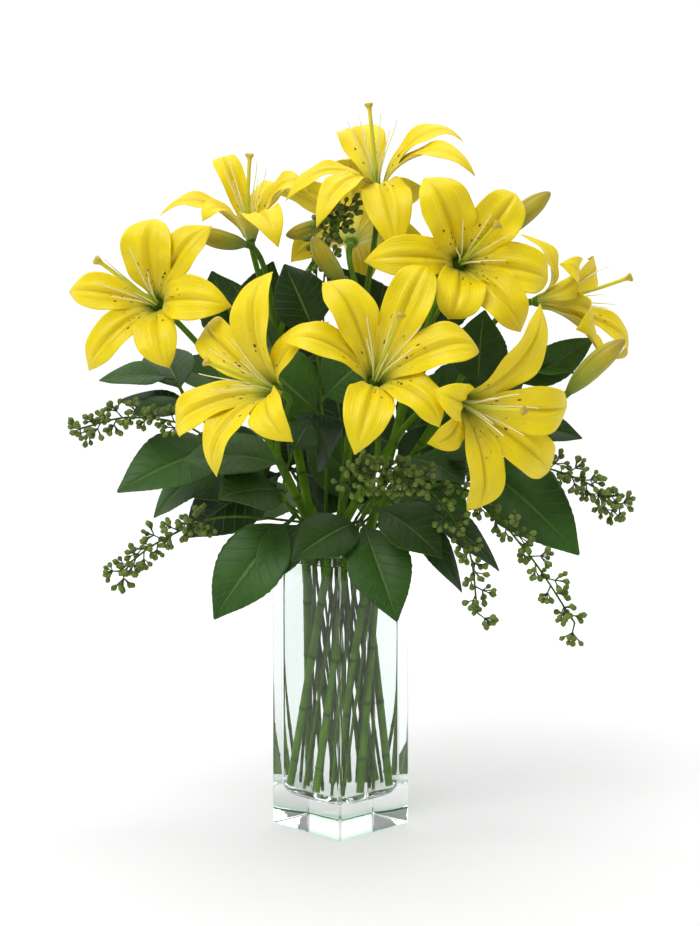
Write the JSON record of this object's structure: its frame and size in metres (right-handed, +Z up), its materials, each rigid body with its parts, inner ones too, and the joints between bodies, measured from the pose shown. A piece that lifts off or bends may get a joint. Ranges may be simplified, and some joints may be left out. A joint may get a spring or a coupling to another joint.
{
  "type": "lilies in a vase",
  "caption": "Cut yellow lilies with buds, salal leaves and seeded eucalyptus, standing in water in a square clear glass vase.",
  "frame": {"origin": "centre of the vase's underside, on the table", "axes": "+Z up the vase, -Y towards the front of the bouquet and one vertical edge of the vase, +X to the viewer's right"},
  "size_m": [0.4735, 0.353, 0.604],
  "materials": {
    "glass": "clear",
    "water": "clear",
    "petals": "satin",
    "pistil": "satin",
    "bud": "satin",
    "stem": "satin",
    "leaf": "satin",
    "seed": "matte"
  },
  "bodies": {
    "root": {"bud_centre": "bud", "bud_far_right": "bud", "bud_left": "bud", "bud_right": "bud", "bud_top_left": "bud", "eucalyptus_centre": "seed", "eucalyptus_left": "seed", "eucalyptus_low": "seed", "eucalyptus_lower_left": "seed", "eucalyptus_lower_right": "seed", "eucalyptus_right": "seed", "eucalyptus_top": "seed", "lily_back_left_petals": "petals", "lily_back_left_pistil": "pistil", "lily_back_petals": "petals", "lily_back_pistil": "pistil", "lily_far_right_petals": "petals", "lily_far_right_pistil": "pistil", "lily_front_left_petals": "petals", "lily_front_left_pistil": "pistil", "lily_front_petals": "petals", "lily_front_pistil": "pistil", "lily_front_right_petals": "petals", "lily_front_right_pistil": "pistil", "lily_left_petals": "petals", "lily_left_pistil": "pistil", "lily_stem_back_left": "stem", "lily_stem_far_right": "stem", "lily_stem_front": "stem", "lily_stem_left": "stem", "lily_stem_top": "stem", "lily_stem_upper_right": "stem", "lily_top_petals": "petals", "lily_top_pistil": "pistil", "lily_upper_right_petals": "petals", "lily_upper_right_pistil": "pistil", "salal_back_left": "leaf", "salal_back_right": "leaf", "salal_centre_left": "leaf", "salal_centre_right": "leaf", "salal_front": "leaf", "salal_front_left": "leaf", "salal_left": "leaf", "salal_right": "leaf", "vase": "glass", "water": "water"}
  },
  "joints": []
}
